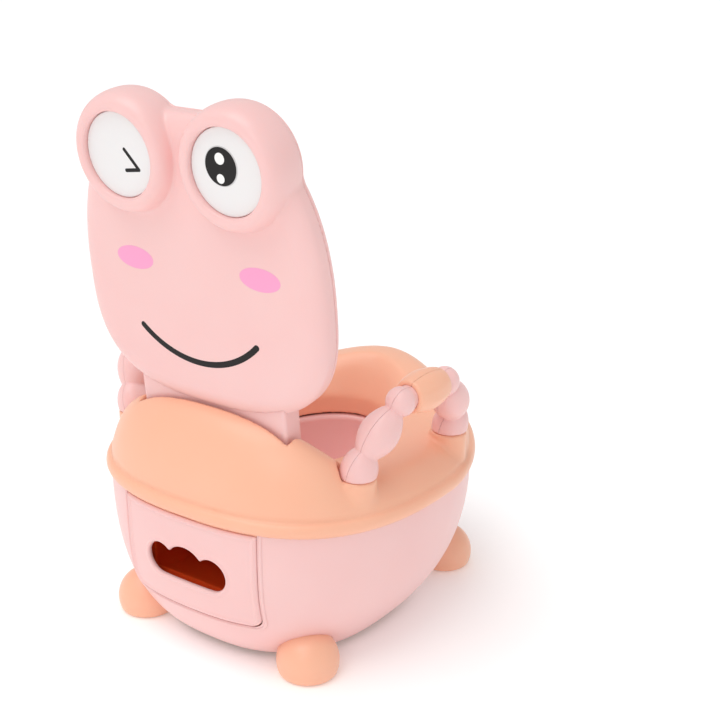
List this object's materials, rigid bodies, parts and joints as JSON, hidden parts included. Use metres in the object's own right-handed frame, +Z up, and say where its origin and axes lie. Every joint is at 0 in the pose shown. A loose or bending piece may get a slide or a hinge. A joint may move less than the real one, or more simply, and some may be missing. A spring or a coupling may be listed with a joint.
{
  "type": "potty training chair",
  "caption": "Toddler's potty training chair with a frog-faced lid on a rear hinge, beaded arm rests, a splash guard, round feet and a bowl in a rear drawer.",
  "frame": {"origin": "on the floor under the middle of the chair", "axes": "+Z up; the seated child faces -Y, so the hinge, hump and drawer are at the +Y end; +X is the child's left"},
  "size_m": [0.2836, 0.312, 0.4269],
  "materials": {
    "pink_plastic": "satin injection-moulded polypropylene",
    "orange_plastic": "satin injection-moulded polypropylene",
    "white_plastic": "glossy",
    "steel": "plain zinc-plated"
  },
  "bodies": {
    "chair": {"body_shell": "pink_plastic", "base_tray": "orange_plastic", "foot_rear_left": "orange_plastic", "foot_rear_right": "orange_plastic", "foot_front_left": "orange_plastic", "foot_front_right": "orange_plastic", "foot_screws": "steel", "seat_cover": "orange_plastic", "seat_screws": "steel", "hinge_pin_left": "steel", "hinge_pin_right": "steel", "arm_left_outer": "pink_plastic", "arm_left_inner": "pink_plastic", "arm_right_outer": "pink_plastic", "arm_right_inner": "pink_plastic", "grip_left_outer": "orange_plastic", "grip_left_inner": "orange_plastic", "grip_right_outer": "orange_plastic", "grip_right_inner": "orange_plastic", "arm_screws": "steel"},
    "drawer": {"drawer_tray": "orange_plastic", "drawer_front": "pink_plastic", "drawer_bowl": "pink_plastic", "drawer_screws": "steel"},
    "lid": {"lid_face_shell": "pink_plastic", "lid_back_panel": "pink_plastic", "lid_screws": "steel", "eye_disc_left": "white_plastic", "eye_disc_right": "white_plastic"}
  },
  "joints": [
    {"name": "lid_hinge", "type": "hinge", "parent": "chair", "child": "lid", "pos_m": [0, 0.092, 0.163], "axis": [1, 0, 0], "range_deg": [0, 91.6]},
    {"name": "drawer_slide", "type": "slide", "parent": "chair", "child": "drawer", "axis": [0, 1, 0], "range_m": [0, 0.15]}
  ]
}
